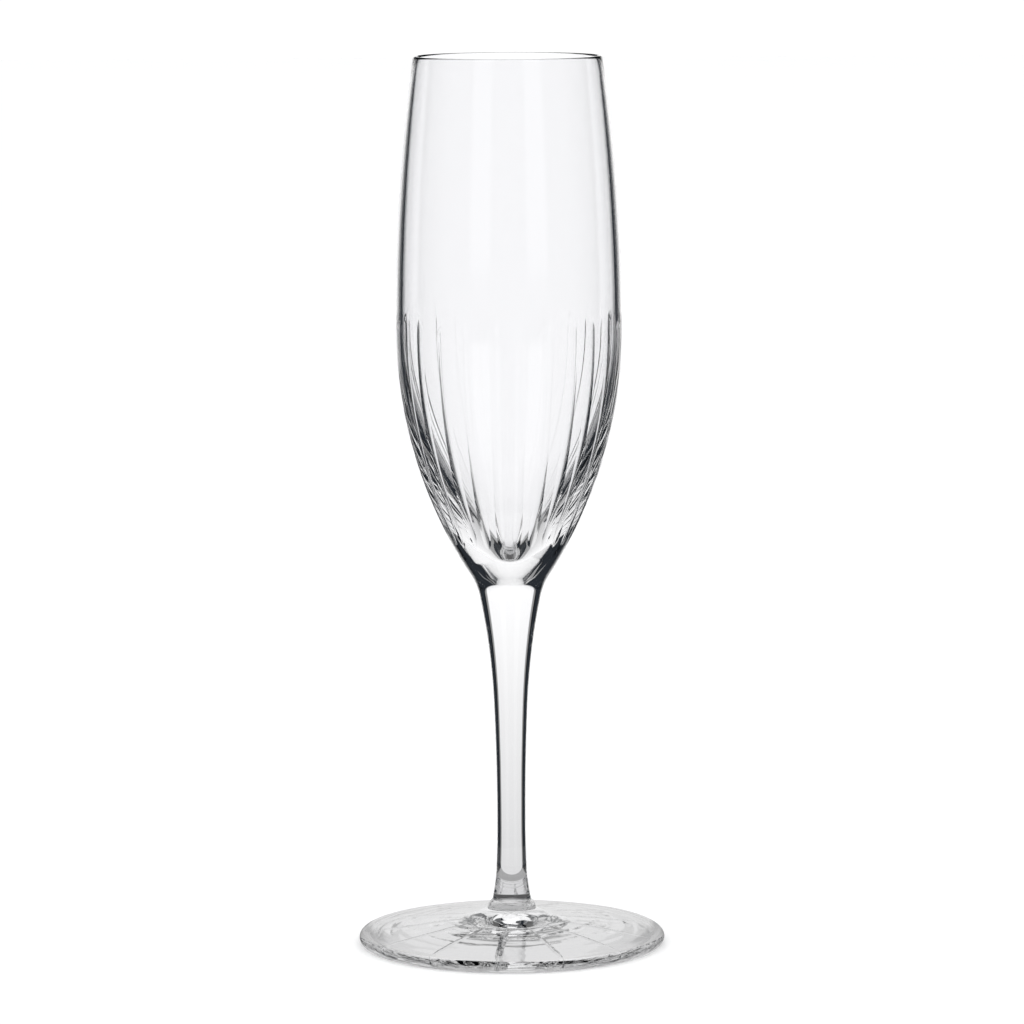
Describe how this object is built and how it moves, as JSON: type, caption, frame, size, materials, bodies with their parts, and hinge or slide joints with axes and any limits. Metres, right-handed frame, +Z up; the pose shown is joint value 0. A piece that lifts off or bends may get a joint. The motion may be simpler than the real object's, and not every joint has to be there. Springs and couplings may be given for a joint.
{
  "type": "champagne flute",
  "caption": "Tall clear cut crystal flute: ogive bowl with vertical cuts, slender drawn stem, small button and round foot with radial cuts underneath.",
  "frame": {"origin": "centre of the ring that the foot stands on, at the lowest point of the glass", "axes": "+Z up along the axis of the glass, from the foot to the rim; +X level, opposite one of the 13 foot cuts, which lies on -X; +Y level, away from the picture's camera"},
  "size_m": [0.0828, 0.0828, 0.24],
  "materials": {
    "bowl_crystal": "blown clear crystal, fire-polished, with polished wheel cuts",
    "stem_crystal": "drawn clear crystal, fire-polished",
    "button_crystal": "hot-worked clear crystal gather",
    "foot_crystal": "spun clear crystal with polished radial mitre cuts underneath"
  },
  "bodies": {
    "root": {"bowl": "bowl_crystal", "stem": "stem_crystal", "foot_button": "button_crystal", "foot": "foot_crystal"}
  },
  "joints": []
}
